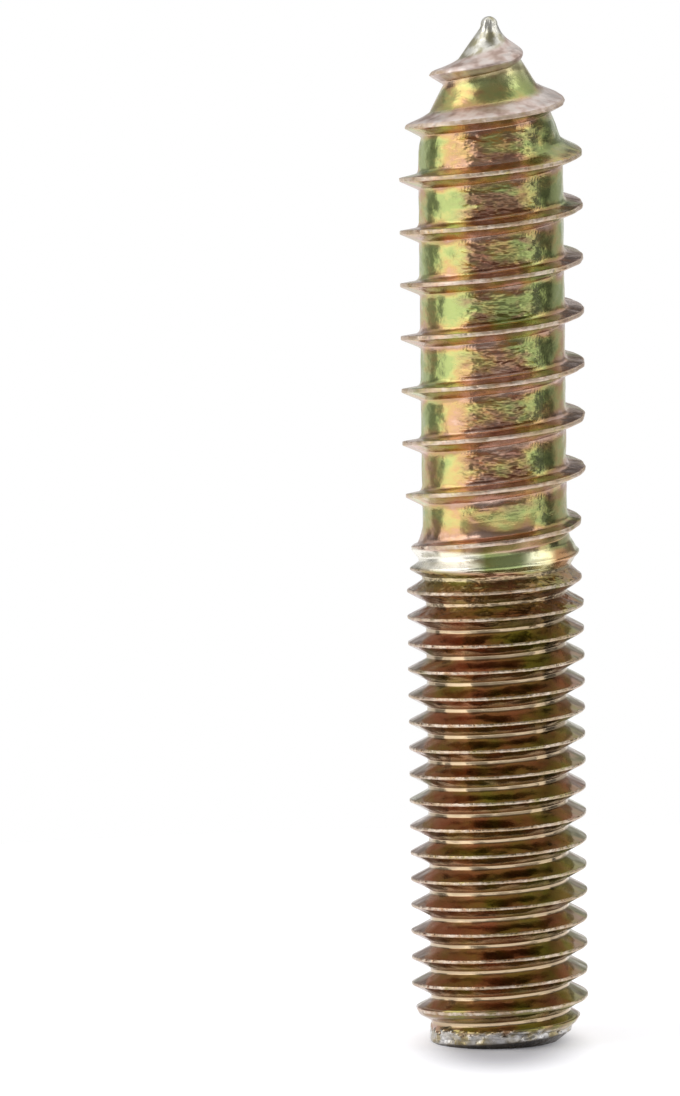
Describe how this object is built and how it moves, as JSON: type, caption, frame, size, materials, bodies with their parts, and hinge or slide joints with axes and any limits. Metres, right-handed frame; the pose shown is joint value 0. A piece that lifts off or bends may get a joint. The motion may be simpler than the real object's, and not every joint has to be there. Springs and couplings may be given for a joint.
{
  "type": "hanger bolt",
  "caption": "Steel stud with a metric machine thread on one end and a coarse wood thread with a gimlet point on the other, yellow zinc finish.",
  "frame": {"origin": "centre of the flat end face, which the bolt stands on", "axes": "+Z along the bolt from the flat end to the gimlet point; +X to the right and +Y away in the front view"},
  "size_m": [0.0104, 0.0104, 0.0585],
  "materials": {
    "yellow_zinc": "yellow passivated zinc over rolled steel, worn to bare silver on the crests"
  },
  "bodies": {
    "root": {"hanger_bolt": "yellow_zinc"}
  },
  "joints": []
}
